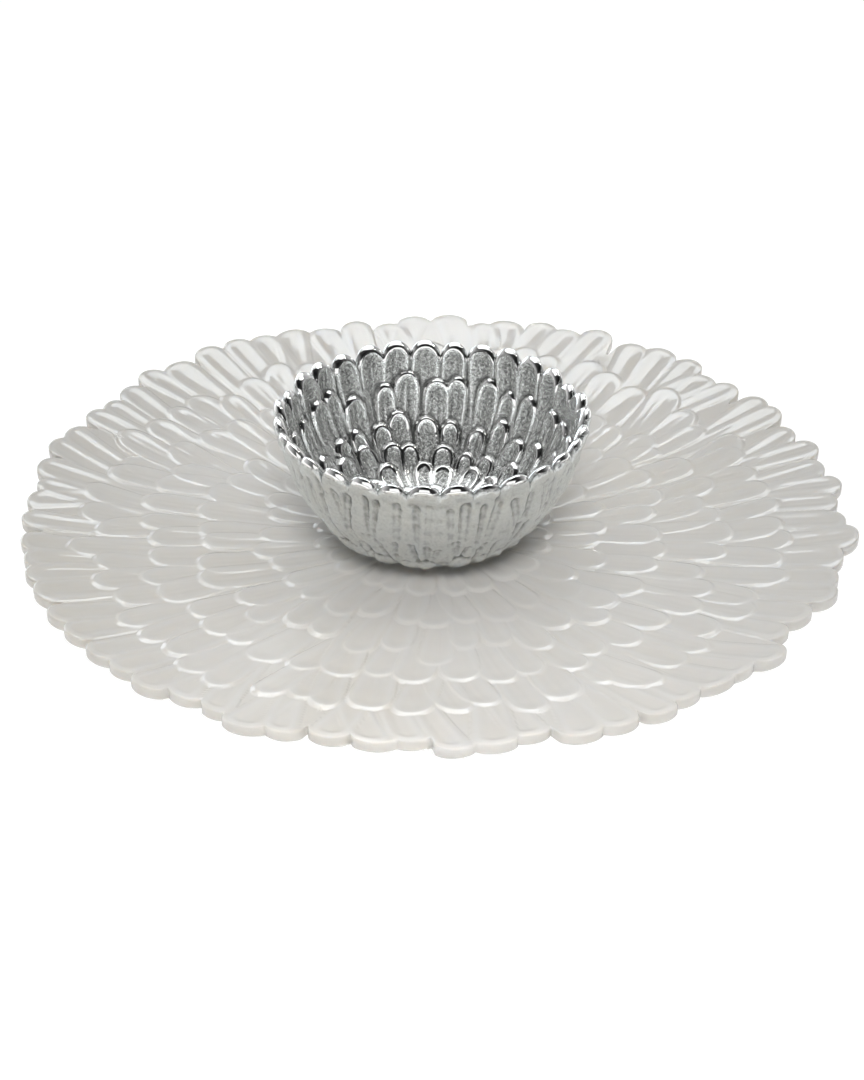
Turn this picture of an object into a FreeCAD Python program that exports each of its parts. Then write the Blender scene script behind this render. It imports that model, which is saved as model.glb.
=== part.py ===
"""Chip and dip server: a shallow glazed plate moulded as an open flower, with a free-standing cast
metal dip bowl in its middle. Millimetres, +Z up. The origin is the middle of the circle that the
plate's foot ring stands on, and the plate's and the bowl's common axis is the Z axis.
"""
import os

import FreeCAD
import Part
import Sketcher

FULL_TURN = 360.0
STRAIGHT = None
LEFT = 1
RIGHT = -1

doc = FreeCAD.newDocument("chip_and_dip_server")


# ---------------------------------------------------------------- driving dimensions

DIMENSIONS = {
    # plate
    "plate_radius": 178.0,      # to the tips of the rim petals, 14 in across
    "plate_wall": 4.5,          # thickness of the dish
    "foot_height": 2.5,         # table to the underside of the dish
    "foot_inner": 84.0,
    "foot_outer": 93.0,
    "foot_draft": 1.5,          # the foot ring narrows by this much on each side
    "well_radius": 40.0,        # the flat middle of the dish
    "dish_arc": 568.0,          # radius of the arc from the flat middle to the rim
    "petal_root": 0.3,          # how deep a tier of petals starts below the dish's face
    "petal_bed": 1.2,           # how far a tier's hidden underside reaches into the dish
    "petal_step": 1.0,          # how far a petal's tip stands proud of the tier outside it
    "rim_petals": 70,
    "rim_tip_arc": 10.3,        # radius of a rim petal's rounded tip
    # dip bowl
    "bowl_radius": 65.0,        # outside of the hemisphere
    "bowl_wall": 3.5,
    "bowl_centre": 64.5,        # height of the hemisphere's centre above the table
    "bowl_rim": 66.0,           # height of the tips of the bowl's rim petals
    "bowl_base": 9.3,           # height of the bowl's flat underside
    "bowl_floor": 3.8,          # thickness of the bowl's flat floor
    "bowl_petals": 31,
    "bowl_tip_arc": 7.3,        # radius of a bowl petal's rounded tip
    "bowl_step": 0.9,           # how far an inner petal's tip stands into the bowl
    # clear pads stuck under the bowl
    "bumper_count": 4,
    "bumper_ring": 21.0,        # radius of the circle that they are on
    "bumper_radius": 4.0,
    "bumper_height": 1.2,
}

# The plate's inner tiers of overlapping petals: tip radius, number of petals, tip arc, root radius.
PLATE_TIERS = {
    "tier_a": (151.0, 53, 9.3, 119.0),
    "tier_b": (127.0, 43, 9.6, 96.0),
    "tier_c": (104.0, 36, 9.4, 69.0),
    "tier_d": (77.0, 29, 8.7, 44.0),
    "tier_e": (52.0, 22, 7.8, 24.0),
    "tier_f": (30.0, 14, 7.0, 8.0),
}

# The bowl's inner tiers: height of the tips, height of the roots.
BOWL_TIERS = {
    "ring_a": (48.5, 34.0),
    "ring_b": (33.5, 22.0),
}

cells = dict(DIMENSIONS)
for tier, (tip, count, arc, root) in PLATE_TIERS.items():
    cells[f"{tier}_tip"] = tip
    cells[f"{tier}_count"] = count
    cells[f"{tier}_arc"] = arc
    cells[f"{tier}_root"] = root
for tier, (tip, root) in BOWL_TIERS.items():
    cells[f"{tier}_tip"] = tip
    cells[f"{tier}_root"] = root

dims = doc.addObject("Spreadsheet::Sheet", "dims")
for row, (alias, value) in enumerate(cells.items(), 1):
    dims.set(f"A{row}", str(value))
    dims.setAlias(f"A{row}", alias)
doc.recompute()


def value_of(expression):
    """The number that an expression on the sheet comes to."""
    number = dims.evalExpression(expression)
    return float(getattr(number, "Value", number))


# ---------------------------------------------------------------- shapes as expressions

def dish_height(radius):
    """Height of the dish's upper face at a radius: flat in the middle, then one long arc."""
    out = f"max({radius} - dims.well_radius; 0)"
    return (
        f"(dims.foot_height + dims.plate_wall + dims.dish_arc"
        f" - sqrt(dims.dish_arc ^ 2 - ({out}) ^ 2))"
    )


def sphere_radius_at(height, radius):
    """Distance from the axis to the bowl's sphere of the given radius, at a height."""
    return f"sqrt(({radius}) ^ 2 - (dims.bowl_centre - ({height})) ^ 2)"


# ---------------------------------------------------------------- sketch and body helpers

def origin_part(body, role):
    """One of a body's own origin planes or axes, found by its role."""
    return next(f for f in body.Origin.OriginFeatures if f.Role == role)


def new_sketch(body, name, role):
    sketch = body.newObject("Sketcher::SketchObject", name)
    sketch.AttachmentSupport = [(origin_part(body, role), "")]
    sketch.MapMode = "FlatFace"
    return sketch


def bind(sketch, constraint, expression):
    """Adds a dimension to a sketch and ties it to the sheet."""
    index = sketch.addConstraint(constraint)
    sketch.setExpression(f"Constraints[{index}]", expression)


def arc_through(start, end, radius, side):
    """The arc between two points with the given radius. side is LEFT or RIGHT: where its centre
    lies on the way from start to end. A sketch keeps every arc anticlockwise, so one with its
    centre on the right runs from end to start.
    """
    chord = end - start
    to_centre = FreeCAD.Vector(-chord.y, chord.x, 0).normalize() * side
    reach = (radius ** 2 - (chord.Length / 2) ** 2) ** 0.5
    belly = (start + end) / 2 + to_centre * (reach - radius)
    return Part.Arc(start, belly, end) if side == LEFT else Part.Arc(end, belly, start)


def end_points(edge):
    """The sketcher's numbers for an edge's first and last point, on the way round the outline."""
    return (2, 1) if edge is not STRAIGHT and edge[1] == RIGHT else (1, 2)


def closed_profile(sketch, corners):
    """A closed outline. Each corner is (across, up, edge to the next corner), and the edge is
    STRAIGHT or an arc as (radius, LEFT or RIGHT).
    """
    points = [
        FreeCAD.Vector(value_of(across), value_of(up), 0) for across, up, _ in corners
    ]
    for number, (_, _, edge) in enumerate(corners):
        start = points[number]
        end = points[(number + 1) % len(points)]
        if edge is STRAIGHT:
            sketch.addGeometry(Part.LineSegment(start, end), False)
        else:
            radius, side = edge
            sketch.addGeometry(arc_through(start, end, value_of(radius), side), False)
    for number, (across, up, edge) in enumerate(corners):
        before = (number - 1) % len(corners)
        first = end_points(edge)[0]
        last = end_points(corners[before][2])[1]
        sketch.addConstraint(Sketcher.Constraint("Coincident", before, last, number, first))
        start = points[number]
        bind(sketch, Sketcher.Constraint("DistanceX", -1, 1, number, first, start.x), across)
        bind(sketch, Sketcher.Constraint("DistanceY", -1, 1, number, first, start.y), up)
        if edge is not STRAIGHT:
            radius = edge[0]
            bind(sketch, Sketcher.Constraint("Radius", number, value_of(radius)), radius)


def revolve(body, name, corners):
    """Adds a turned solid to a body, from an outline right of the Z axis."""
    sketch = new_sketch(body, f"{name}_outline", "XZ_Plane")
    closed_profile(sketch, corners)
    feature = body.newObject("PartDesign::Revolution", name)
    feature.Profile = sketch
    feature.ReferenceAxis = (sketch, ["V_Axis"])
    feature.Angle = FULL_TURN
    return feature


def circle_sketch(body, name, role, across, up, radius):
    sketch = new_sketch(body, name, role)
    centre = FreeCAD.Vector(value_of(across), value_of(up), 0)
    normal = FreeCAD.Vector(0, 0, 1)
    sketch.addGeometry(Part.Circle(centre, normal, value_of(radius)), False)
    bind(sketch, Sketcher.Constraint("DistanceX", -1, 1, 0, 3, centre.x), across)
    bind(sketch, Sketcher.Constraint("DistanceY", -1, 1, 0, 3, centre.y), up)
    bind(sketch, Sketcher.Constraint("Radius", 0, value_of(radius)), radius)
    return sketch


def pad(body, name, sketch, length):
    feature = body.newObject("PartDesign::Pad", name)
    feature.Profile = sketch
    feature.setExpression("Length", length)
    return feature


def round_the_axis(body, name, feature, count):
    """Repeats a feature evenly round the body's Z axis."""
    pattern = body.newObject("PartDesign::PolarPattern", name)
    pattern.Originals = [feature]
    pattern.Axis = (origin_part(body, "Z_Axis"), [""])
    pattern.Angle = FULL_TURN
    pattern.setExpression("Occurrences", count)
    body.Tip = pattern
    return pattern


def boolean(kind, name, *shapes):
    """A Part::Common, Part::Cut or Part::MultiFuse of the given objects."""
    result = doc.addObject(kind, name)
    if kind == "Part::MultiFuse":
        result.Shapes = list(shapes)
    else:
        result.Base, result.Tool = shapes
    result.Label = name
    return result


# ---------------------------------------------------------------- plate

def petal_outline_prism(name, tip, count, arc):
    """An upright prism whose plan is a disc edged with rounded petal tips."""
    body = doc.addObject("PartDesign::Body", name)
    height = "2 * dims.bowl_rim"
    disc = circle_sketch(body, f"{name}_disc", "XY_Plane", "0", "0", f"{tip} - {arc}")
    pad(body, f"{name}_core", disc, height)
    doc.recompute()
    tip_circle = circle_sketch(
        body, f"{name}_tip", "XY_Plane", f"{tip} - {arc}", "0", arc
    )
    petal = pad(body, f"{name}_petal", tip_circle, height)
    doc.recompute()
    round_the_axis(body, f"{name}_petals", petal, count)
    return body


def plate_dish():
    """The dish itself: a flat middle and one long arc up to the rim, of even thickness."""
    body = doc.addObject("PartDesign::Body", "dish")
    top = dish_height("dims.plate_radius")
    under_arc = "dims.dish_arc + dims.plate_wall"
    rim_under = (
        f"(dims.foot_height + {under_arc}"
        f" - sqrt(({under_arc}) ^ 2 - (dims.plate_radius - dims.well_radius) ^ 2))"
    )
    revolve(body, "dish_turned", [
        ("0", "dims.foot_height", STRAIGHT),
        ("dims.well_radius", "dims.foot_height", (under_arc, LEFT)),
        ("dims.plate_radius", rim_under, STRAIGHT),
        ("dims.plate_radius", top, ("dims.dish_arc", RIGHT)),
        ("dims.well_radius", "dims.foot_height + dims.plate_wall", STRAIGHT),
        ("0", "dims.foot_height + dims.plate_wall", STRAIGHT),
    ])
    return body


def plate_foot():
    """The ring under the dish that the plate stands on."""
    body = doc.addObject("PartDesign::Body", "foot")
    top = "dims.foot_height + dims.plate_wall / 2"
    revolve(body, "foot_turned", [
        ("dims.foot_inner + dims.foot_draft", "0", STRAIGHT),
        ("dims.foot_outer - dims.foot_draft", "0", STRAIGHT),
        ("dims.foot_outer", top, STRAIGHT),
        ("dims.foot_inner", top, STRAIGHT),
    ])
    return body


def plate_tier(tier):
    """One tier of petals: a thin turned wedge, highest at its edge, cut to a petal outline."""
    tip, root = f"dims.{tier}_tip", f"dims.{tier}_root"
    body = doc.addObject("PartDesign::Body", f"{tier}_wedge")
    revolve(body, f"{tier}_turned", [
        (root, f"{dish_height(root)} - dims.petal_bed", STRAIGHT),
        (tip, f"{dish_height(tip)} - dims.petal_bed", STRAIGHT),
        (tip, f"{dish_height(tip)} + dims.petal_step", STRAIGHT),
        (root, f"{dish_height(root)} - dims.petal_root", STRAIGHT),
    ])
    prism = petal_outline_prism(
        f"{tier}_prism", tip, f"dims.{tier}_count", f"dims.{tier}_arc"
    )
    return boolean("Part::Common", f"{tier}_petals_cut", body, prism)


def make_plate():
    rim_prism = petal_outline_prism(
        "rim_prism", "dims.plate_radius", "dims.rim_petals", "dims.rim_tip_arc"
    )
    dish = boolean("Part::Common", "scalloped_dish", plate_dish(), rim_prism)
    tiers = [plate_tier(tier) for tier in PLATE_TIERS]
    return boolean("Part::MultiFuse", "plate", dish, plate_foot(), *tiers)


# ---------------------------------------------------------------- dip bowl

def bowl_shell():
    """The hemispherical cup with its flat base and floor, up to the tips of the rim petals."""
    body = doc.addObject("PartDesign::Body", "cup")
    inner = "dims.bowl_radius - dims.bowl_wall"
    floor = "dims.bowl_base + dims.bowl_floor"
    outer = "dims.bowl_radius"
    base, rim = "dims.bowl_base", "dims.bowl_rim"
    revolve(body, "cup_turned", [
        ("0", base, STRAIGHT),
        (sphere_radius_at(base, outer), base, (outer, LEFT)),
        (sphere_radius_at(rim, outer), rim, STRAIGHT),
        (sphere_radius_at(rim, inner), rim, (inner, RIGHT)),
        (sphere_radius_at(floor, inner), floor, STRAIGHT),
        ("0", floor, STRAIGHT),
    ])
    return body


def crown(name, tip):
    """A drum edged on top with rounded petal tips that point up, for cutting a ring of petals."""
    body = doc.addObject("PartDesign::Body", name)
    drum = circle_sketch(
        body, f"{name}_drum", "XY_Plane", "0", "0", "dims.bowl_radius + dims.bowl_wall"
    )
    pad(body, f"{name}_core", drum, f"{tip} - dims.bowl_tip_arc")
    doc.recompute()
    lobe_circle = circle_sketch(
        body, f"{name}_lobe", "XZ_Plane", "0", f"{tip} - dims.bowl_tip_arc", "dims.bowl_tip_arc"
    )
    lobe_circle.setExpression("AttachmentOffset.Base.z", "dims.bowl_radius / 2")
    lobe = pad(body, f"{name}_petal", lobe_circle, "dims.bowl_radius / 2 + dims.bowl_wall")
    doc.recompute()
    round_the_axis(body, f"{name}_petals", lobe, "dims.bowl_petals")
    return body


def bowl_tier(tier):
    """A ring of petals standing into the bowl from its wall."""
    tip, root = f"dims.{tier}_tip", f"dims.{tier}_root"
    inner = "dims.bowl_radius - dims.bowl_wall"
    bed = "dims.bowl_radius - dims.bowl_wall / 2"
    body = doc.addObject("PartDesign::Body", f"{tier}_wedge")
    revolve(body, f"{tier}_turned", [
        (sphere_radius_at(root, bed), root, (bed, LEFT)),
        (sphere_radius_at(tip, bed), tip, STRAIGHT),
        (sphere_radius_at(tip, f"{inner} - dims.bowl_step"), tip, STRAIGHT),
        (sphere_radius_at(root, inner), root, STRAIGHT),
    ])
    return boolean("Part::Common", f"{tier}_petals_cut", body, crown(f"{tier}_crown", tip))


def make_bowl():
    rim_crown = crown("rim_crown", "dims.bowl_rim")
    scalloped = boolean("Part::Common", "scalloped_cup", bowl_shell(), rim_crown)
    tiers = [bowl_tier(tier) for tier in BOWL_TIERS]
    return boolean("Part::MultiFuse", "dip_bowl", scalloped, *tiers)


# ---------------------------------------------------------------- bumpers under the bowl

def make_bumpers():
    """Small clear discs on the bowl's underside, which keep the metal off the glaze."""
    discs = []
    count = int(value_of("dims.bumper_count"))
    for number in range(count):
        disc = doc.addObject("Part::Cylinder", f"bumper_{number + 1}")
        disc.setExpression("Radius", "dims.bumper_radius")
        disc.setExpression("Height", "dims.bumper_height")
        turn = f"({number} + 0.5) * 360 deg / dims.bumper_count"
        disc.setExpression("Placement.Base.x", f"dims.bumper_ring * cos({turn})")
        disc.setExpression("Placement.Base.y", f"dims.bumper_ring * sin({turn})")
        disc.setExpression("Placement.Base.z", "dims.bowl_base - dims.bumper_height")
        discs.append(disc)
    group = doc.addObject("Part::Compound", "bowl_bumpers")
    group.Links = discs
    group.Label = "bowl_bumpers"
    return group


# ---------------------------------------------------------------- build, check and write

subparts = [make_plate(), make_bowl(), make_bumpers()]
doc.recompute()

failed = [o.Label for o in doc.Objects if {"Invalid", "Error"} & set(o.State)]
if failed:
    raise RuntimeError(f"these objects failed to build: {failed}")
for part in subparts:
    if part.Shape.isNull() or not part.Shape.isValid():
        raise RuntimeError(f"{part.Label} has no valid shape")

os.makedirs("parts", exist_ok=True)
for part in subparts:
    part.Shape.exportStep(f"parts/{part.Label}.step")
    box = part.Shape.BoundBox
    print(
        f"{part.Label}: {len(part.Shape.Solids)} solid(s), {len(part.Shape.Faces)} faces,"
        f" {part.Shape.Volume / 1000:.1f} cm3, z {box.ZMin:.2f} to {box.ZMax:.2f},"
        f" x {box.XMin:.2f} to {box.XMax:.2f}"
    )
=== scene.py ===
"""Looks of the chip and dip server: a glazed plate moulded as an open flower, and a cast and
polished metal dip bowl with the same petals. Both are sculpted as height fields of overlapping
petals over the CAD shapes. Lengths are in millimetres until a mesh is made, and +Z is up.
"""

import math
from dataclasses import dataclass

import bpy
import numpy as np
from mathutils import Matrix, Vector


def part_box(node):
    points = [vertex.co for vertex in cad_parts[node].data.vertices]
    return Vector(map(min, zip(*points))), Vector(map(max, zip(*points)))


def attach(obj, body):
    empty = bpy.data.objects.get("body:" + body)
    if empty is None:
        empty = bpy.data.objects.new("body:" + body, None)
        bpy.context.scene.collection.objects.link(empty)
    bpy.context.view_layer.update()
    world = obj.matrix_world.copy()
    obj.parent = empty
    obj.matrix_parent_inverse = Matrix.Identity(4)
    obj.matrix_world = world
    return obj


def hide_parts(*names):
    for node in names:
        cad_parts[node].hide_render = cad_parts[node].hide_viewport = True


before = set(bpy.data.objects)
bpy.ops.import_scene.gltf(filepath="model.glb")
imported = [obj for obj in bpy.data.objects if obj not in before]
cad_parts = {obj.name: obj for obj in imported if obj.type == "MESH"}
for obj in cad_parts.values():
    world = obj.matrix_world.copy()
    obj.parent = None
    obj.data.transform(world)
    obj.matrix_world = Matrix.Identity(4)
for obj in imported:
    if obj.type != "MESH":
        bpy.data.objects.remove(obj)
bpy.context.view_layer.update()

MM = 0.001
TAU = 2 * math.pi

plate_low, plate_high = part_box("plate")
bowl_low, bowl_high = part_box("dip_bowl")
bumper_low, bumper_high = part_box("bowl_bumpers")

# ---------------------------------------------------------------- sizes: some read from the frame, the rest given

PLATE_RADIUS = plate_high.x / MM
PLATE_RIM = plate_high.z / MM           # height of the rim's upper edge
PLATE_WALL = 4.5
FOOT_HEIGHT = 2.5
FOOT_INNER, FOOT_OUTER = 84.0, 93.0
WELL_RADIUS = 40.0                      # the flat middle of the dish
WELL_TOP = FOOT_HEIGHT + PLATE_WALL
BOWL_BASE = bowl_low.z / MM
BOWL_RIM = bowl_high.z / MM
BOWL_OUTER = 64.3
BOWL_WALL = 3.4
BOWL_CENTRE = BOWL_RIM - 1.5            # the sphere's centre lies a little under the rim
BOWL_FLOOR = 4.0                        # thickness of the bowl's flat floor


# ---------------------------------------------------------------- small numeric tools

def smoothstep(low, high, x):
    t = np.clip((x - low) / (high - low), 0, 1)
    return t * t * (3 - 2 * t)


def soft_min(a, b, width):
    """The smaller of a and b, with the corner between them rounded over width."""
    blend = np.clip(0.5 + 0.5 * (b - a) / width, 0, 1)
    return b + (a - b) * blend - width * blend * (1 - blend)


def outside_fall(depth):
    """How far a surface has dropped away outside an outline, where depth is below 0."""
    return 2.5 * np.maximum(-depth, 0)


def quarter_round(depth, edge):
    """Fall of a rounded edge: 0 at depth >= edge, 1 at depth 0, and on down outside it."""
    inside = np.clip((edge - depth) / edge, 0, 1)
    return 1 - np.sqrt(1 - inside ** 2) + outside_fall(depth)


def cavity(height, spread, depth):
    """How far each place lies in a hollow of about the given spread in cells: 0 to 1."""
    steps = range(-spread, spread + 1)
    mean = sum(np.roll(height, step, 1) for step in steps) / len(steps)
    padded = np.pad(mean, ((spread, spread), (0, 0)), "edge")
    mean = sum(padded[spread + k: spread + k + len(height)] for k in steps) / len(steps)
    return np.clip((mean - height) / depth, 0, 1)


class Ripple:
    """Smooth random waves of about one wavelength over a plane or in space."""

    def __init__(self, rng, wavelength, waves=14, dimensions=2):
        direction = rng.normal(size=(waves, dimensions))
        direction /= np.linalg.norm(direction, axis=1)[:, None]
        pace = TAU / (wavelength * rng.uniform(0.65, 1.5, waves))
        self.wave = direction * pace[:, None]
        self.phase = rng.uniform(0, TAU, waves)
        self.scale = math.sqrt(2 / waves)

    def __call__(self, *axes):
        total = 0
        for wave, phase in zip(self.wave, self.phase):
            total = total + np.sin(sum(w * a for w, a in zip(wave, axes)) + phase)
        return total * self.scale


# ---------------------------------------------------------------- petals

@dataclass
class Ring:
    """One ring of petals. Distances run along the surface from the middle of the flower."""

    tip: float                # distance to the tips
    count: int
    shown: float              # length that shows beyond the next ring in
    step: float               # how far a tip stands above the ring under it
    cap: float                # length of the rounded tip
    width: float = 1.04       # petal width as a share of the pitch
    ridge: float = 0.12       # height of the soft raised border
    ridge_in: float = 2.0     # how far in from the edge the border's crest is
    ridge_wide: float = 1.2
    channel: float = 0.35     # depth of the hollow along the petal
    edge: float = 1.9         # width of the sloping edge at the tip
    edge_drop: float = 0.75   # height of the sloping edge at the tip
    side: float = 0.6         # share of both along the petal's sides
    rolled: bool = False      # the edge rolls over like a quarter circle, or slopes softly
    ragged: float = 2.2       # scatter of the tips along the petal
    wander: float = 0.12      # scatter of the petals round the ring, in pitches
    uneven: float = 0.10      # scatter in height
    spread: float = 0.08      # scatter in width
    lean: float = 0.00045     # scatter of direction, in radians per millimetre
    lines: float = 0.05       # height of the fine lengthwise lines
    line_gap: float = 4.2     # distance between them
    turn: float = 0.0         # where the ring starts, in pitches


@dataclass
class Petal:
    azimuth: float
    tip: float
    half: float               # half width as an angle
    lift: float
    lean: float
    phase: float
    line_gap: float


def scatter_petals(ring, rng):
    """The ring's petals, each a little different, as hand-modelled petals are."""
    pitch = TAU / ring.count
    petals = []
    for number in range(ring.count):
        place = number + ring.turn + rng.uniform(-1, 1) * ring.wander
        petals.append(Petal(
            azimuth=place * pitch,
            tip=ring.tip + np.clip(rng.normal(), -1.8, 1.8) * ring.ragged,
            half=0.5 * pitch * ring.width * (1 + rng.uniform(-1, 1) * ring.spread),
            lift=rng.normal() * ring.uneven,
            lean=rng.normal() * ring.lean,
            phase=rng.uniform(0, TAU),
            line_gap=ring.line_gap * rng.uniform(0.8, 1.2),
        ))
    return petals


class Sheet:
    """A grid over a round surface: rows go out from the middle, columns round it. reach is the
    distance from the middle and girth the radius of the circle, both in rows by columns. floor
    is the height of the ground that the petals lie on, and sharpness how clearly the highest
    petal wins where two meet, per millimetre.
    """

    def __init__(self, reach, girth, azimuth, floor, sharpness):
        self.reach, self.girth, self.azimuth = reach, girth, azimuth
        self.sharpness = sharpness
        self.weight = np.full(reach.shape, math.exp(sharpness * floor))
        self.crest = np.zeros(reach.shape)
        self.polish = np.zeros(reach.shape)
        self.inside = np.full(reach.shape, -9.0)

    def place(self, ring, petal):
        """The rows and columns that a petal can reach, and where they are on the petal: how far
        in from its tip, how far across as a share of its half width, and how deep inside its
        outline.
        """
        length = 2.4 * ring.shown
        near = (self.reach.max(1) > petal.tip - length) & (self.reach.min(1) < petal.tip + 1.5)
        rows = np.flatnonzero(near)[:, None]
        pace = TAU / len(self.azimuth)
        span = int(petal.half * 1.25 / pace) + 3 + int(abs(petal.lean) * length / pace)
        middle = int(round((petal.azimuth - self.azimuth[0]) / pace))
        columns = np.arange(middle - span, middle + span + 1)[None, :] % len(self.azimuth)
        girth = self.girth[rows, columns]
        inward = petal.tip - self.reach[rows, columns]
        turn = self.azimuth[columns] - petal.azimuth - petal.lean * inward
        turn = (turn + math.pi) % TAU - math.pi
        half = np.maximum(petal.half * girth, 0.05)
        across = turn * girth / half
        depth = (1 - np.hypot(across, np.maximum(ring.cap - inward, 0) / ring.cap)) * half
        return rows, columns, inward, across, half, depth

    def lay(self, ring, petals):
        """Lays the ring's petals over what is there: at each place the highest surface shows."""
        for petal in petals:
            rows, columns, inward, across, half, depth = self.place(ring, petal)
            height = petal.lift + ring.step * (1 - inward / ring.shown)
            from_crest = depth - ring.ridge_in
            wide = np.where(from_crest < 0, ring.ridge_wide, 1.7 * ring.ridge_wide)
            crest = np.exp(-((from_crest / wide) ** 2))
            fade = np.exp(-np.maximum(inward, 0) / (1.1 * ring.shown))
            hollow = np.clip(1 - across ** 2, 0, 1) * smoothstep(0.25, 0.9, depth / half)
            streaks = np.sin(TAU * across * half / petal.line_gap + petal.phase)
            height += ring.ridge * crest * (0.4 + 0.6 * fade)
            height += (ring.lines * streaks - ring.channel) * hollow
            share = 1 - (1 - ring.side) * smoothstep(0.6 * ring.cap, 1.8 * ring.cap, inward)
            edge = ring.edge * np.sqrt(share)
            if ring.rolled:
                height -= ring.edge_drop * share * quarter_round(np.maximum(depth, 0), edge)
            else:
                height -= ring.edge_drop * share * (1 - smoothstep(0, edge, depth))
            height -= outside_fall(depth)
            weight = np.exp(self.sharpness * np.clip(height, -3.2, 3.5))
            self.weight[rows, columns] += weight
            self.crest[rows, columns] += weight * crest
            tip = smoothstep(1.9 * ring.cap, 0.8 * ring.cap, inward)
            band = smoothstep(1.05 * ring.edge, 0.75 * ring.edge, depth) * tip
            self.polish[rows, columns] += weight * np.maximum(band, 0.6 * crest)
            self.inside[rows, columns] = np.maximum(self.inside[rows, columns], depth)

    def press(self, ring, petals, depth_at_tip, slope):
        """How far hollows in the shape of the ring's petals go in, each fading to its root."""
        pressed = np.zeros(self.reach.shape)
        for petal in petals:
            rows, columns, inward, _, _, depth = self.place(ring, petal)
            hollow = smoothstep(0.2, slope, depth) * smoothstep(2.2, 0.4, inward / ring.shown)
            hollow *= depth_at_tip + petal.lift
            pressed[rows, columns] = np.maximum(pressed[rows, columns], hollow)
        return pressed

    def height(self):
        return np.log(self.weight) / self.sharpness

    def from_edge(self, tip, nominal):
        """How deep each place lies inside the rim petals' joint outline. The rows follow that
        outline, so a place counts as at least three quarters as deep as its row.
        """
        return np.maximum(self.inside, 0.75 * (tip - nominal)[:, None])

    def mask(self, total):
        return np.clip(total / self.weight, 0, 1)


def outline(ring, petals, azimuth):
    """Distance from the middle to the petals' joint outline, at each azimuth."""
    sharpness = 3.0
    total = np.zeros(len(azimuth))
    for petal in petals:
        turn = (azimuth - petal.azimuth + math.pi) % TAU - math.pi
        share = np.abs(turn) / petal.half
        cap = ring.cap * (1 - np.sqrt(np.clip(1 - share ** 2, 0, 1)))
        reach = np.where(share < 1, petal.tip - cap, petal.tip - ring.cap - 40 * (share - 1))
        total += np.exp(sharpness * np.clip(reach - ring.tip, -12, 12))
    return ring.tip + np.log(total) / sharpness


# ---------------------------------------------------------------- grids to meshes

def build_mesh(name, rows, attributes):
    """A closed skin through rings of points, from pole to pole. A ring has the same number of
    points as the one before it, half or twice as many. attributes holds a value for each point.
    """
    rows = [rows[0].mean(0, keepdims=True), *rows, rows[-1].mean(0, keepdims=True)]
    attributes = {
        label: [values[0][:1], *values, values[-1][:1]] for label, values in attributes.items()
    }
    starts = np.cumsum([0] + [len(r) for r in rows])
    triangles, quads = [], []
    for number in range(len(rows) - 1):
        a, b = len(rows[number]), len(rows[number + 1])
        first, second = starts[number], starts[number + 1]
        if a == b:
            k = np.arange(a)
            n = (k + 1) % a
            quads.append(np.stack([first + k, first + n, second + n, second + k], 1))
        elif 1 in (a, b):
            k = np.arange(max(a, b))
            n = (k + 1) % max(a, b)
            if a == 1:
                triangles.append(np.stack([first + 0 * k, second + n, second + k], 1))
            else:
                triangles.append(np.stack([first + k, first + n, second + 0 * k], 1))
        else:
            few, many = min(a, b), max(a, b)
            k = np.arange(few)
            n = (k + 1) % few
            fine0, fine1, fine2 = 2 * k, 2 * k + 1, (2 * k + 2) % many
            if a > b:
                f, c = first, second
                parts = [
                    (f + fine0, f + fine1, c + k),
                    (f + fine1, c + n, c + k),
                    (f + fine1, f + fine2, c + n),
                ]
            else:
                c, f = first, second
                parts = [
                    (f + fine0, c + k, f + fine1),
                    (f + fine1, c + k, c + n),
                    (f + fine1, c + n, f + fine2),
                ]
            triangles += [np.stack(p, 1) for p in parts]
    quads = np.concatenate(quads) if quads else np.zeros((0, 4), int)
    triangles = np.concatenate(triangles) if triangles else np.zeros((0, 3), int)
    points = np.concatenate(rows) * MM
    loops = np.concatenate([quads.ravel(), triangles.ravel()]).astype(np.int32)
    sizes = np.concatenate([np.full(len(quads), 4), np.full(len(triangles), 3)])
    offsets = np.concatenate([[0], np.cumsum(sizes)[:-1]]).astype(np.int32)
    mesh = bpy.data.meshes.new(name)
    mesh.vertices.add(len(points))
    mesh.vertices.foreach_set("co", points.astype(np.float32).ravel())
    mesh.loops.add(len(loops))
    mesh.loops.foreach_set("vertex_index", loops)
    mesh.polygons.add(len(sizes))
    mesh.polygons.foreach_set("loop_start", offsets)
    mesh.polygons.foreach_set("use_smooth", np.ones(len(sizes), bool))
    mesh.update(calc_edges=True)
    mesh.validate()
    for label, values in attributes.items():
        layer = mesh.attributes.new(label, "FLOAT", "POINT")
        layer.data.foreach_set("value", np.concatenate(values).astype(np.float32))
    made = bpy.data.objects.new(name, mesh)
    bpy.context.scene.collection.objects.link(made)
    return made


def stride_at(radius, full_radius):
    """The spacing of the columns kept at a radius, so that cells stay about square."""
    stride = 1
    while radius < full_radius / 2 and stride < 64:
        radius *= 2
        stride *= 2
    return stride


def edge_rows(limit, pace, rounding):
    """Offsets from the edge inwards: close together over the rounded edge, then even."""
    near = [rounding * (1 - math.cos(a)) for a in np.linspace(0, math.pi / 2, 7)]
    count = max(1, int(round((limit - near[-1]) / pace)))
    return np.concatenate([near, near[-1] + (limit - near[-1]) * np.arange(1, count + 1) / count])


# ---------------------------------------------------------------- plate

PLATE_COLUMNS = 2048
PLATE_PACE = 0.55
PLATE_EDGE = 1.1            # radius of the rim's rounded edges
PLATE_SHARPNESS = 6.0


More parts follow.
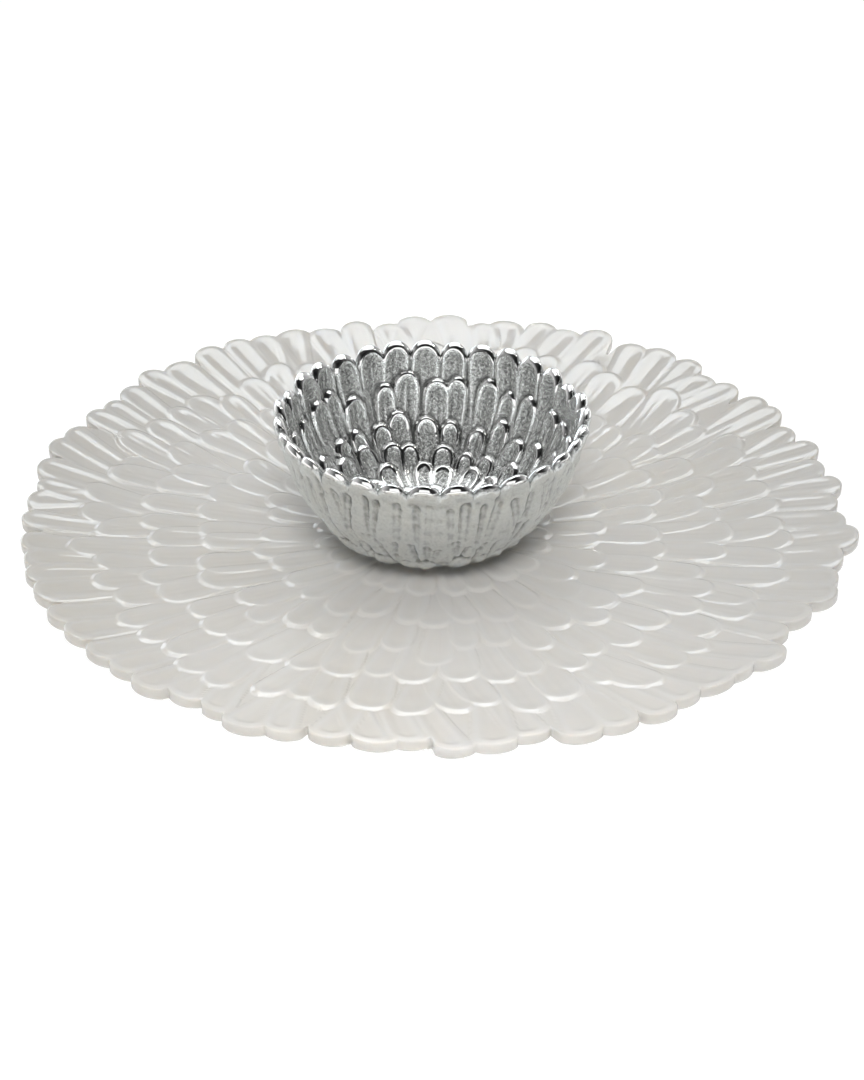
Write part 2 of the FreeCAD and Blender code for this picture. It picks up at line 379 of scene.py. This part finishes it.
def glazed_ring(tip, count, shown, **changes):
    """A ring of the plate's petals: low, softly edged, with a faint hollow."""
    settings = dict(
        step=0.56, cap=10.0, width=1.14, ridge=0.06, ridge_in=2.2, ridge_wide=1.1, channel=0.17,
        edge=1.6, edge_drop=0.59, side=0.20, ragged=3.8, wander=0.20, uneven=0.09, spread=0.14,
        lean=0.0010, lines=0.03, line_gap=4.4,
    )
    settings.update(changes)
    return Ring(tip=tip, count=count, shown=shown, **settings)


PLATE_RINGS = [
    glazed_ring(176.3, 70, 27.0, step=0.3, cap=6.4, width=1.08, ridge=0.05, channel=0.42,
                edge=4.4, edge_drop=0.50, side=0.5, ragged=2.4, wander=0.18, uneven=0.09),
    glazed_ring(151.0, 61, 24.0, turn=0.3),
    glazed_ring(127.0, 50, 24.0, turn=0.1),
    glazed_ring(103.0, 41, 26.0, turn=0.6),
    glazed_ring(77.0, 32, 25.0, ragged=2.8, turn=0.2),
    glazed_ring(52.0, 24, 22.0, cap=9.0, ragged=2.2, turn=0.8),
    glazed_ring(30.0, 14, 16.0, cap=7.5, ragged=0.8, step=0.45, uneven=0.05, turn=0.4),
    glazed_ring(14.5, 7, 12.0, cap=6.0, ragged=0.4, step=0.4, uneven=0.04),
]


def dish_top(radius):
    """Height of the dish's upper face, before its petals."""
    rise = PLATE_RIM - WELL_TOP
    arc = ((PLATE_RADIUS - WELL_RADIUS) ** 2 + rise ** 2) / (2 * rise)
    out = np.maximum(radius - WELL_RADIUS, 0)
    return WELL_TOP + arc - np.sqrt(arc ** 2 - out ** 2)


def foot_ring(radius):
    """How much of the underside is drawn down to the floor: 1 on the foot ring, 0 beside it."""
    middle = (FOOT_INNER + FOOT_OUTER) / 2
    half = (FOOT_OUTER - FOOT_INNER) / 2
    return smoothstep(half + 1.6, half - 1.6, np.abs(radius - middle))


def polar_points(radius, azimuth, height):
    return np.stack([radius * np.cos(azimuth), radius * np.sin(azimuth), height], -1)


def thinned_rows(nominal, full, grids):
    """Picks from each row of the grids only as many columns as keep the cells about square."""
    rows = []
    for number, distance in enumerate(nominal):
        stride = stride_at(distance, full)
        rows.append([grid[number, ::stride] for grid in grids])
    return rows


def make_plate():
    rng = np.random.default_rng(70)
    azimuth = np.arange(PLATE_COLUMNS) * TAU / PLATE_COLUMNS - math.pi / 2
    rim = PLATE_RINGS[0]
    ring_petals = [scatter_petals(ring, rng) for ring in PLATE_RINGS]
    edge = outline(rim, ring_petals[0], azimuth)
    sway, shimmer = Ripple(rng, 90), Ripple(rng, 11)

    def grid(pace):
        nominal = rim.tip - edge_rows(rim.tip - 0.4, pace, PLATE_EDGE)
        pull = smoothstep(rim.tip - 34, rim.tip - 7, nominal)[:, None]
        radius = nominal[:, None] + (edge[None, :] - rim.tip) * pull
        across, along = radius * np.cos(azimuth), radius * np.sin(azimuth)
        wave = 0.35 * sway(across, along) * smoothstep(60, 160, radius)
        return nominal, radius, dish_top(radius) + wave + 0.012 * shimmer(across, along)

    nominal, radius, top = grid(PLATE_PACE)
    sheet = Sheet(radius, radius, azimuth, -0.45, PLATE_SHARPNESS)
    for ring, petals in zip(PLATE_RINGS, ring_petals):
        sheet.lay(ring, petals)
    from_edge = sheet.from_edge(rim.tip, nominal)
    top += sheet.height() - PLATE_EDGE * quarter_round(from_edge, PLATE_EDGE)
    upper = polar_points(radius, azimuth, top)

    under_nominal, under_radius, underside = grid(3 * PLATE_PACE)
    back = Sheet(under_radius, under_radius, azimuth, -0.45, PLATE_SHARPNESS)
    back.lay(rim, ring_petals[0])
    from_edge = back.from_edge(rim.tip, under_nominal)
    underside += PLATE_EDGE * quarter_round(from_edge, PLATE_EDGE) - PLATE_WALL
    underside += 0.3 * smoothstep(2.5, 0, back.inside) * smoothstep(130, 160, under_radius)
    underside -= 0.7 * smoothstep(150, 172, under_radius)
    underside *= 1 - foot_ring(under_radius)
    lower = polar_points(under_radius, azimuth, underside)

    full = rim.tip * 1.001
    # The crest mask lightens the glaze's colour: partly thinner glaze, partly a painted highlight.
    crest = sheet.mask(sheet.crest)
    rows = thinned_rows(nominal[1:], full, (upper[1:], crest[1:]))[::-1]
    rows.append([(upper[0] + lower[0]) / 2, crest[0]])
    rows += thinned_rows(under_nominal[1:], full, (lower[1:], 0 * under_radius[1:]))
    points, crest = zip(*rows)
    return build_mesh("petal_plate", points, {"crest": crest})


# ---------------------------------------------------------------- dip bowl

BOWL_COLUMNS = 1024
BOWL_PACE = 0.42
BOWL_EDGE = 2.8             # width of the rim's rolled edge inside
BOWL_LIP = 3.2              # and outside
INNER_LIP = 1.2             # how far the rolled edge falls inside
OUTER_LIP = 2.6             # and outside
RIM_FLARE = 2.2             # how far the wall turns out at the rim
RIM_BEAD = 1.2              # how much thicker the wall grows under the rim
BOWL_SHARPNESS = 8.0
BOWL_MEAN = BOWL_OUTER - BOWL_WALL / 2      # radius that distances along the bowl are measured on


def on_bowl(degrees):
    """Distance along the bowl from its lowest point to a polar angle."""
    return BOWL_MEAN * math.radians(degrees)


def cast_ring(degrees, count, shown, **changes):
    """A ring of the bowl's petals: narrow ovals whose polished tips roll over."""
    settings = dict(
        step=1.6, cap=8.5, width=0.98, ridge=0.40, ridge_in=1.2, ridge_wide=0.6, channel=0.75,
        edge=2.9, edge_drop=2.0, side=0.40, rolled=True, ragged=2.9, wander=0.2, uneven=0.22,
        spread=0.14, lean=0.0012, lines=0.14, line_gap=2.7,
    )
    settings.update(changes)
    return Ring(tip=on_bowl(degrees), count=count, shown=shown, **settings)


INSIDE_RINGS = [
    cast_ring(91.5, 31, 17.0, step=0.3, cap=7.5, width=1.04, edge=2.8, edge_drop=0.9, side=0.6,
              ragged=0.8, wander=0.08, uneven=0.12, spread=0.07),
    cast_ring(76.0, 30, 15.5, turn=0.4),
    cast_ring(62.0, 28, 14.0, turn=0.1),
    cast_ring(50.0, 24, 13.0, turn=0.7),
    cast_ring(39.0, 19, 12.0, cap=8.0, turn=0.2),
    cast_ring(28.5, 14, 11.0, cap=7.5, ragged=1.5, turn=0.6),
    cast_ring(18.0, 9, 10.0, cap=6.5, ragged=0.8, wander=0.1, step=1.4, edge_drop=2.0, turn=0.5),
    cast_ring(8.0, 5, 7.5, cap=5.0, ragged=0.3, wander=0.05, step=1.0, edge=3.0, edge_drop=1.4,
              turn=0.1),
]

OUTSIDE_RINGS = [
    cast_ring(85.0, 56, 21.0, cap=4.2, width=0.88, ragged=1.8, wander=0.22, uneven=0.22,
              lean=0.0015),
    cast_ring(63.0, 54, 15.0, cap=3.6, width=0.84, ragged=2.6, uneven=0.25, lean=0.002),
]

OUTSIDE_DEPTHS = (1.10, 1.55)    # how far each ring is pressed into the outer face

KNOBS = cast_ring(47.0, 27, 8.0, step=0.6, cap=5.0, width=0.98, ridge=0.0, channel=-0.75,
                  edge=2.4, edge_drop=1.3, side=0.9, ragged=1.8, uneven=0.3, lines=0.0, turn=0.2)


def bowl_radius_at(polar, sphere, floor_height):
    """Distance from the bowl's centre to a face that is a sphere with a flat floor."""
    floor = (BOWL_CENTRE - floor_height) / np.maximum(np.cos(polar), 0.05)
    flare = RIM_FLARE * np.clip((polar - math.radians(82)) / math.radians(9.5), 0, 1.3) ** 2
    return soft_min(sphere + flare, floor, 5.0)


def bowl_points(distance, polar, azimuth):
    out = distance * np.sin(polar)
    return polar_points(out, azimuth, BOWL_CENTRE - distance * np.cos(polar))


def bowl_grid(edge, pace, rounding):
    """Rows from the scalloped edge down to the middle of the bowl: how far each row is from the
    lowest point where there are no scallops, how far each place is, and its polar angle.
    """
    tip = INSIDE_RINGS[0].tip
    nominal = tip - edge_rows(tip - 0.4, pace, rounding)
    pull = smoothstep(tip - 22, tip - 5, nominal)[:, None]
    reach = nominal[:, None] + (edge[None, :] - tip) * pull
    return nominal, reach, reach / BOWL_MEAN


def bowl_inside(azimuth, edge, ring_petals, middling, fine):
    """The inner face: its rows' distances, then its points, polish and the crevices' painted shade.
    """
    nominal, reach, polar = bowl_grid(edge, BOWL_PACE, BOWL_EDGE)
    sheet = Sheet(reach, BOWL_MEAN * np.sin(polar), azimuth, -0.8, BOWL_SHARPNESS)
    for ring, petals in zip(INSIDE_RINGS, ring_petals):
        sheet.lay(ring, petals)
    polish = sheet.mask(sheet.polish)
    face = bowl_radius_at(polar, BOWL_OUTER - BOWL_WALL, BOWL_BASE + BOWL_FLOOR)
    spots = np.moveaxis(bowl_points(face, polar, azimuth), -1, 0)
    grain = (middling(*spots) * 0.06 + fine(*spots) * 0.05) * (1 - polish)
    from_edge = sheet.from_edge(INSIDE_RINGS[0].tip, nominal)
    relief = sheet.height() - INNER_LIP * quarter_round(from_edge, BOWL_EDGE)
    points = bowl_points(face - relief - grain, polar, azimuth)
    # The relief's cavity marks the crevices, which the material darkens as painted shade.
    return nominal, (points, polish, cavity(relief, 4, 0.5))


def bowl_outside(azimuth, edge, rim_petals, coarse, middling, rng):
    """The outer face, in the same form: flutes pressed in under a smooth lip, knobs below."""
    rim = INSIDE_RINGS[0]
    nominal, reach, polar = bowl_grid(edge, BOWL_PACE * 1.2, BOWL_LIP)
    back = Sheet(reach, BOWL_MEAN * np.sin(polar), azimuth, -1.0, 4.0)
    back.lay(KNOBS, scatter_petals(KNOBS, rng))
    relief = np.maximum(back.height(), -0.5) + 0.5
    for ring, depth in zip(OUTSIDE_RINGS, OUTSIDE_DEPTHS):
        relief -= back.press(ring, scatter_petals(ring, rng), depth, 2.2)
    face = bowl_radius_at(polar, BOWL_OUTER + 0.2, BOWL_BASE)
    face += RIM_BEAD * smoothstep(math.radians(79), math.radians(88), polar)
    spots = np.moveaxis(bowl_points(face, polar, azimuth), -1, 0)
    smooth_lip = smoothstep(rim.tip - 2.2, rim.tip - 3.2, reach)
    relief += (coarse(*spots) * 0.15 + middling(*spots) * 0.035) * smooth_lip
    relief *= smoothstep(math.radians(26), math.radians(36), polar)
    lip = Sheet(reach, BOWL_MEAN * np.sin(polar), azimuth, -1.0, 4.0)
    lip.lay(rim, rim_petals)
    from_edge = lip.from_edge(rim.tip, nominal)
    relief -= OUTER_LIP * np.clip(1 - from_edge / BOWL_LIP, 0, 1) ** 2
    points = bowl_points(face + relief, polar, azimuth)
    points[..., 2] = np.maximum(points[..., 2], BOWL_BASE)
    # The relief's cavity under the lip marks the crevices, which the material darkens as painted
    # shade.
    return nominal, (points, 1 - 2 * smooth_lip, cavity(relief, 4, 0.6) * smooth_lip)


def make_bowl():
    rng = np.random.default_rng(31)
    azimuth = np.arange(BOWL_COLUMNS) * TAU / BOWL_COLUMNS - math.pi / 2
    inside_petals = [scatter_petals(ring, rng) for ring in INSIDE_RINGS]
    edge = outline(INSIDE_RINGS[0], inside_petals[0], azimuth)
    coarse, middling, fine = (Ripple(rng, size, 24, 3) for size in (5.5, 2.2, 1.2))
    inner = bowl_inside(azimuth, edge, inside_petals, middling, fine)
    outer = bowl_outside(azimuth, edge, inside_petals[0], coarse, middling, rng)

    inner_rows, outer_rows = (
        thinned_rows(BOWL_MEAN * np.sin(nominal[1:] / BOWL_MEAN), BOWL_MEAN, [g[1:] for g in grids])
        for nominal, grids in (inner, outer)
    )
    inner_points, outer_points = inner[1][0], outer[1][0]
    lip_row = [(inner_points[0] + outer_points[0]) / 2, outer[1][1][0], outer[1][2][0]]
    points, polish, crevice_shade = zip(*inner_rows[::-1], lip_row, *outer_rows)
    return build_mesh("petal_bowl", points, {"polish": polish, "crevice_shade": crevice_shade})


# ---------------------------------------------------------------- bumpers

def make_bumper(number, centre, radius, low, high):
    """A clear pad: a soft dome, its top pressed a little into the metal above it."""
    rounding = (high - low) * 0.7
    profile = [
        (radius, high + 0.3),
        (radius, low + rounding),
        (radius - rounding * 0.3, low + rounding * 0.3),
        (radius - rounding, low),
        (radius * 0.45, low),
    ]
    columns = 48
    azimuth = np.arange(columns) * TAU / columns
    rows = []
    for out, height in profile:
        ring = polar_points(np.full(columns, out), azimuth, np.full(columns, height))
        rows.append(ring + np.array([centre[0], centre[1], 0]))
    return build_mesh(f"bumper_pad_{number}", rows, {})


# ---------------------------------------------------------------- materials

def new_material(name):
    material = bpy.data.materials.new(name)
    material.use_nodes = True
    nodes = material.node_tree.nodes
    return material, nodes, material.node_tree.links, nodes["Principled BSDF"]


def add(nodes, kind, **settings):
    """A node with the given properties, and inputs where the name is an input's."""
    node = nodes.new(kind)
    for key, value in settings.items():
        if key in node.inputs:
            node.inputs[key].default_value = value
        else:
            setattr(node, key, value)
    return node


def ramp(nodes, *stops):
    """A colour ramp through the given positions and colours, or grey levels."""
    node = nodes.new("ShaderNodeValToRGB")
    elements = node.color_ramp.elements
    elements.remove(elements[1])
    for number, (position, colour) in enumerate(stops):
        element = elements[0] if number == 0 else elements.new(position)
        element.position = position
        grey = not isinstance(colour, tuple)
        element.color = (colour, colour, colour, 1) if grey else (*colour, 1)
    return node


def glaze_material():
    """Off-white glaze: warm grey, lighter along the petals' borders, partly where the glaze thins
    over them and partly as a painted highlight.
    """
    material, nodes, links, shader = new_material("off_white_glaze")
    place = add(nodes, "ShaderNodeTexCoord")
    cloud = add(nodes, "ShaderNodeTexNoise", Scale=9.0, Detail=3.0)
    speckle = add(nodes, "ShaderNodeTexNoise", Scale=420.0, Detail=2.0)
    crest = add(nodes, "ShaderNodeAttribute", attribute_name="crest")
    links.new(place.outputs["Object"], cloud.inputs["Vector"])
    links.new(place.outputs["Object"], speckle.inputs["Vector"])
    tone = ramp(nodes, (0.35, (0.592, 0.571, 0.530)), (0.65, (0.596, 0.582, 0.555)))
    links.new(cloud.outputs["Fac"], tone.inputs["Fac"])
    # Lighter colour along the crests: partly thinner glaze, partly a painted highlight.
    glaze_break_and_highlight = add(nodes, "ShaderNodeMix", data_type="RGBA", blend_type="MIX")
    glaze_break_and_highlight.inputs["B"].default_value = (0.615, 0.613, 0.600, 1)
    strength = add(nodes, "ShaderNodeMath", operation="MULTIPLY")
    strength.inputs[1].default_value = 0.45
    links.new(crest.outputs["Fac"], strength.inputs[0])
    links.new(strength.outputs[0], glaze_break_and_highlight.inputs["Factor"])
    links.new(tone.outputs["Color"], glaze_break_and_highlight.inputs["A"])
    links.new(glaze_break_and_highlight.outputs["Result"], shader.inputs["Base Color"])
    bump = add(nodes, "ShaderNodeBump", Strength=0.015, Distance=0.0004)
    links.new(speckle.outputs["Fac"], bump.inputs["Height"])
    links.new(bump.outputs["Normal"], shader.inputs["Normal"])
    shader.inputs["Roughness"].default_value = 0.05
    shader.inputs["IOR"].default_value = 1.52
    shader.inputs["Subsurface Weight"].default_value = 0.5
    shader.inputs["Subsurface Radius"].default_value = (1.0, 0.9, 0.75)
    shader.inputs["Subsurface Scale"].default_value = 0.003
    return material


def metal_material():
    """Cast metal: polished on the petals' tips, grainy in the hollows, satin outside. The mesh's
    polish value is 1 where polished, 0 in the hollows and -1 outside, and its value for the
    narrow gaps goes up to 1 there, where the colour is darkened as painted shade.
    """
    material, nodes, links, shader = new_material("cast_silver_metal")
    place = add(nodes, "ShaderNodeTexCoord")
    polish = add(nodes, "ShaderNodeAttribute", attribute_name="polish")
    crevice_shade = add(nodes, "ShaderNodeAttribute", attribute_name="crevice_shade")
    grain = add(nodes, "ShaderNodeTexNoise", Scale=1300.0, Detail=3.0, Roughness=0.7)
    speckle = add(nodes, "ShaderNodeTexNoise", Scale=1000.0, Detail=3.0, Roughness=0.65)
    links.new(place.outputs["Object"], grain.inputs["Vector"])
    links.new(place.outputs["Object"], speckle.inputs["Vector"])
    finish = add(nodes, "ShaderNodeMapRange")
    finish.inputs["From Min"].default_value = -1.0
    finish.inputs["From Max"].default_value = 1.0
    links.new(polish.outputs["Fac"], finish.inputs["Value"])

    tone = ramp(nodes, (0.0, (0.80, 0.82, 0.81)), (0.5, (0.90, 0.905, 0.885)),
                (1.0, (0.95, 0.95, 0.94)))
    rough = ramp(nodes, (0.0, 0.27), (0.5, 0.27), (0.95, 0.05))
    texture = ramp(nodes, (0.0, 0.22), (0.5, 1.0), (0.95, 0.0))
    for made in (tone, rough, texture):
        links.new(finish.outputs["Result"], made.inputs["Fac"])
    spread = ramp(nodes, (0.40, 0.45), (0.56, 1.0))
    links.new(speckle.outputs["Fac"], spread.inputs["Fac"])
    mottled = add(nodes, "ShaderNodeMix", data_type="RGBA", blend_type="MULTIPLY")
    links.new(texture.outputs["Color"], mottled.inputs["Factor"])
    links.new(tone.outputs["Color"], mottled.inputs["A"])
    links.new(spread.outputs["Color"], mottled.inputs["B"])
    # Painted shade: the narrow crevices are darkened towards a dark grey.
    painted_crevice_shade = add(nodes, "ShaderNodeMix", data_type="RGBA", blend_type="MIX")
    painted_crevice_shade.inputs["B"].default_value = (0.16, 0.16, 0.155, 1)
    depth = add(nodes, "ShaderNodeMath", operation="MULTIPLY")
    depth.inputs[1].default_value = 0.8
    links.new(crevice_shade.outputs["Fac"], depth.inputs[0])
    links.new(depth.outputs[0], painted_crevice_shade.inputs["Factor"])
    links.new(mottled.outputs["Result"], painted_crevice_shade.inputs["A"])
    links.new(painted_crevice_shade.outputs["Result"], shader.inputs["Base Color"])

    links.new(rough.outputs["Color"], shader.inputs["Roughness"])
    bump = add(nodes, "ShaderNodeBump", Distance=0.0005)
    links.new(texture.outputs["Color"], bump.inputs["Strength"])
    links.new(grain.outputs["Fac"], bump.inputs["Height"])
    links.new(bump.outputs["Normal"], shader.inputs["Normal"])
    shader.inputs["Metallic"].default_value = 1.0
    return material


def pad_material():
    """Clear soft silicone, faintly milky."""
    material, nodes, links, shader = new_material("clear_silicone")
    place = add(nodes, "ShaderNodeTexCoord")
    milk = add(nodes, "ShaderNodeTexNoise", Scale=160.0, Detail=2.0)
    links.new(place.outputs["Object"], milk.inputs["Vector"])
    tone = ramp(nodes, (0.0, (0.80, 0.82, 0.82)), (1.0, (0.90, 0.91, 0.91)))
    links.new(milk.outputs["Fac"], tone.inputs["Fac"])
    links.new(tone.outputs["Color"], shader.inputs["Base Color"])
    shader.inputs["Roughness"].default_value = 0.25
    shader.inputs["Transmission Weight"].default_value = 0.55
    shader.inputs["IOR"].default_value = 1.41
    return material


def floor_material():
    """The plain background, the same for the floor and the wall: almost white by itself."""
    material, _, _, shader = new_material("pale_floor")
    shader.inputs["Base Color"].default_value = (0.16, 0.16, 0.16, 1)
    shader.inputs["Roughness"].default_value = 0.9
    shader.inputs["Specular IOR Level"].default_value = 0.1
    shader.inputs["Emission Color"].default_value = (1, 1, 1, 1)
    shader.inputs["Emission Strength"].default_value = 0.92
    return material


# ---------------------------------------------------------------- studio

def make_floor(pale):
    mesh = bpy.data.meshes.new("studio_floor")
    half = 6.0
    corners = [(-half, -half, 0), (half, -half, 0), (half, half, 0), (-half, half, 0)]
    mesh.from_pydata(corners, [], [(0, 1, 2, 3)])
    floor = bpy.data.objects.new("studio_floor", mesh)
    bpy.context.scene.collection.objects.link(floor)
    floor.location.z = -0.0002
    mesh.materials.append(pale)


def make_backdrop(pale):
    """A pale wall all round, which shows behind the piece and neither lights it nor is mirrored
    in it.
    """
    columns, radius = 96, 5.9
    bottom, top = -0.1, 6.0
    angles = [TAU * k / columns for k in range(columns)]
    circle = [(radius * math.cos(a), radius * math.sin(a)) for a in angles]
    points = [(x, y, z) for z in (bottom, top) for x, y in circle]
    faces = []
    for k in range(columns):
        after = (k + 1) % columns
        faces.append((k, after, columns + after, columns + k))
    mesh = bpy.data.meshes.new("studio_backdrop")
    mesh.from_pydata(points, [], faces)
    wall = bpy.data.objects.new("studio_backdrop", mesh)
    bpy.context.scene.collection.objects.link(wall)
    wall.visible_diffuse = wall.visible_glossy = wall.visible_transmission = False
    wall.visible_shadow = False
    mesh.materials.append(pale)


def softbox(name, place, target, size, watts, colour=(1, 1, 1), mirrored=True, lights=True,
            spread=180):
    """A panel aimed at a target. One that is not mirrored lights the piece and leaves no
    reflection, as a light bounced off a far ceiling does. One that lights nothing only shows as
    a reflection, as a white card does. spread is the angle of its beam in degrees.
    """
    light = bpy.data.lights.new(name, "AREA")
    light.shape = "RECTANGLE"
    light.size, light.size_y = size
    light.energy = watts
    light.color = colour
    light.spread = math.radians(spread)
    made = bpy.data.objects.new(name, light)
    bpy.context.scene.collection.objects.link(made)
    made.location = place
    aim = Vector(target) - Vector(place)
    made.rotation_euler = aim.to_track_quat("-Z", "Y").to_euler()
    made.visible_glossy = mirrored
    made.visible_diffuse = lights


def make_world():
    """A studio: pale low down and towards the back and left, dark in front and overhead."""
    world = bpy.data.worlds.new("studio")
    bpy.context.scene.world = world
    world.use_nodes = True
    nodes, links = world.node_tree.nodes, world.node_tree.links
    place = add(nodes, "ShaderNodeTexCoord")
    split = add(nodes, "ShaderNodeSeparateXYZ")
    level = ramp(nodes, (0.0, 0.62), (0.20, 0.60), (0.60, 0.52), (0.80, 0.10))
    links.new(place.outputs["Generated"], split.inputs[0])
    links.new(split.outputs["Z"], level.inputs["Fac"])
    bright_side = add(nodes, "ShaderNodeVectorMath", operation="DOT_PRODUCT")
    bright_side.inputs[1].default_value = (-0.25, 0.75, 0.0)
    links.new(place.outputs["Generated"], bright_side.inputs[0])
    strength = add(nodes, "ShaderNodeMapRange")
    strength.inputs["From Min"].default_value = -0.5
    strength.inputs["From Max"].default_value = 0.6
    strength.inputs["To Min"].default_value = 0.05
    strength.inputs["To Max"].default_value = 1.2
    links.new(bright_side.outputs["Value"], strength.inputs["Value"])
    links.new(level.outputs["Color"], nodes["Background"].inputs["Color"])
    links.new(strength.outputs["Result"], nodes["Background"].inputs["Strength"])


def make_lights():
    target = (0, 0, 0.03)
    softbox("overhead", (0.0, 0.34, 1.32), target, (1.8, 1.0), 7.8, (0.99, 1.0, 1.0))
    softbox("back_top", (0.0, 0.92, 1.30), target, (1.5, 0.60), 14.0, (0.90, 0.96, 1.0),
            lights=False)
    softbox("fill", (0.02, -0.62, 0.78), (0, -0.12, 0.02), (0.4, 0.3), 0.50, mirrored=False,
            spread=50)
    softbox("front_rim_fill", (0.02, -0.62, 0.78), (0, -0.21, 0.02), (0.08, 0.08), 0.050,
            mirrored=False, spread=22)
    softbox("back_rim_fill", (0.0, 0.72, 0.85), (0, 0.20, 0.03), (0.08, 0.08), 0.055,
            mirrored=False, spread=22)
    softbox("front_card", (0.0, -2.2, 0.75), target, (3.0, 1.2), 12.0)
    softbox("left_sweep", (-1.05, 1.3, 0.36), target, (1.2, 0.7), 7.0, (0.82, 0.91, 1.0),
            lights=False)
    softbox("right_small", (1.0, 0.25, 1.15), target, (0.1, 0.1), 1.0, (1.0, 0.98, 0.94))


def make_camera():
    """The photograph's view: 30.5 degrees above the rim, a long lens, the plate a little high."""
    elevation = math.radians(30.52)
    drop = math.radians(1.1287)         # how far below the rim's middle the camera aims
    distance = 0.950
    focus = Vector((0.0, 0.0, PLATE_RIM * MM))
    data = bpy.data.cameras.new("camera")
    data.sensor_width = 36.0
    data.lens = 73.933
    data.clip_start = 0.01
    camera = bpy.data.objects.new("camera", data)
    bpy.context.scene.collection.objects.link(camera)
    back = Vector((0, -math.cos(elevation), math.sin(elevation)))
    camera.location = focus + back * distance
    camera.rotation_euler = (math.pi / 2 - elevation - drop, 0, 0)
    bpy.context.scene.camera = camera


# ---------------------------------------------------------------- put together

scene = bpy.context.scene
scene.view_settings.view_transform = "Standard"

plate = make_plate()
plate.data.materials.append(glaze_material())
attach(plate, "plate")
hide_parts("plate")

bowl = make_bowl()
bowl.data.materials.append(metal_material())
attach(bowl, "bowl")
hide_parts("dip_bowl")

clear = pad_material()
pad_radius = 4.0
pad_place = bumper_high.x / MM - pad_radius
for number, (x, y) in enumerate(((1, 1), (-1, 1), (-1, -1), (1, -1)), 1):
    pad = make_bumper(
        number, (x * pad_place, y * pad_place), pad_radius, bumper_low.z / MM, bumper_high.z / MM
    )
    pad.data.materials.append(clear)
    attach(pad, "bowl")
    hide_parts("bowl_bumpers")

pale = floor_material()
make_floor(pale)
make_backdrop(pale)
make_world()
make_lights()
make_camera()
